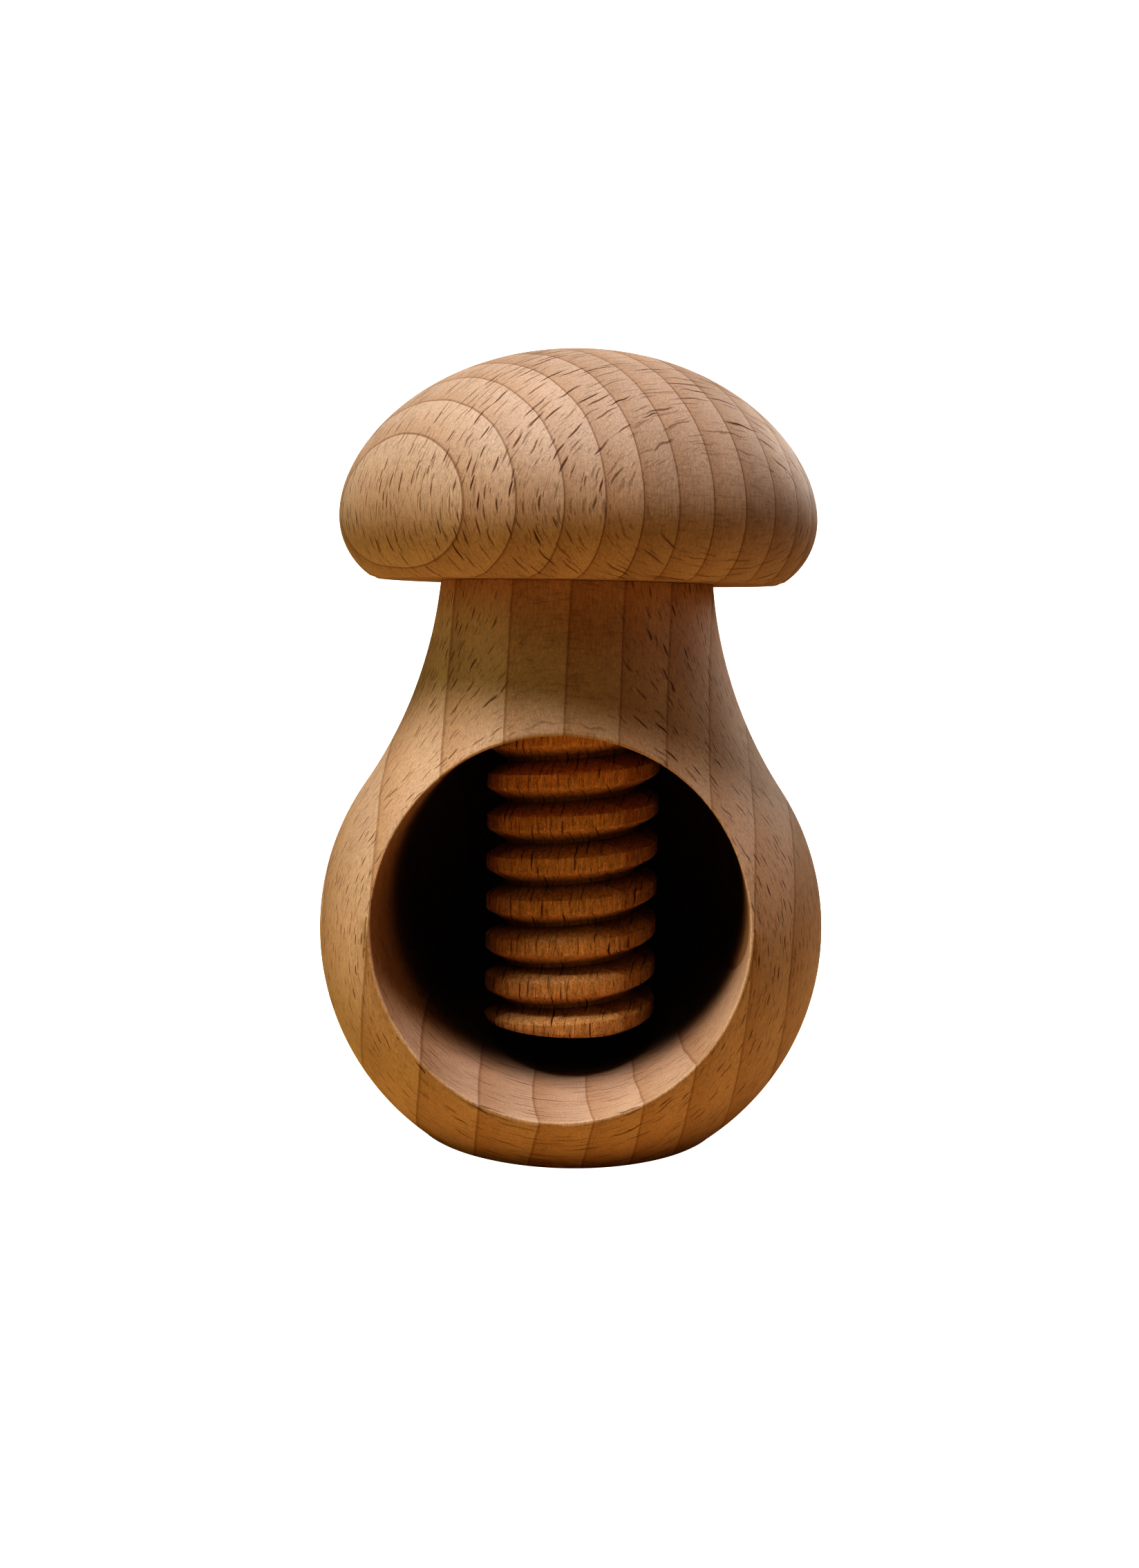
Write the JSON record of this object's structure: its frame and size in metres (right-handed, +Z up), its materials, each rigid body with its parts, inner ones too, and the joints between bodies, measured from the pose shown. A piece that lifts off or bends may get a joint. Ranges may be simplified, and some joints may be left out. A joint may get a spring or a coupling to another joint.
{
  "type": "screw nutcracker",
  "caption": "Mushroom-shaped wooden screw nutcracker: turning the cap drives a threaded spindle down into a round nut chamber bored into the body.",
  "frame": {"origin": "centre of the foot's underside", "axes": "+Z up the screw's axis, -Y out of the nut chamber's mouth"},
  "size_m": [0.0654, 0.0631, 0.1003],
  "materials": {
    "body_wood": "satin, fine-turned beech",
    "screw_wood": "cut thread, slightly torn fibres",
    "cap_wood": "satin, fine-turned beech",
    "cured_glue": "cured wood glue"
  },
  "bodies": {
    "body": {"body": "body_wood"},
    "glue": {"glue_sleeve": "cured_glue"},
    "press": {"mushroom_cap": "cap_wood", "screw": "screw_wood"}
  },
  "joints": [
    {"name": "screw_travel", "type": "slide", "parent": "body", "child": "glue", "axis": [0, 0, 1], "range_m": [0, 0.053]},
    {"name": "cap_turn", "type": "hinge", "parent": "glue", "child": "press", "pos_m": [0, 0, 0.0713], "axis": [0, 0, 1], "range_deg": [0, 3600]}
  ],
  "couplings": [
    {"joint": "screw_travel", "follows": "cap_turn", "m_per_rad": 0.00084352}
  ]
}
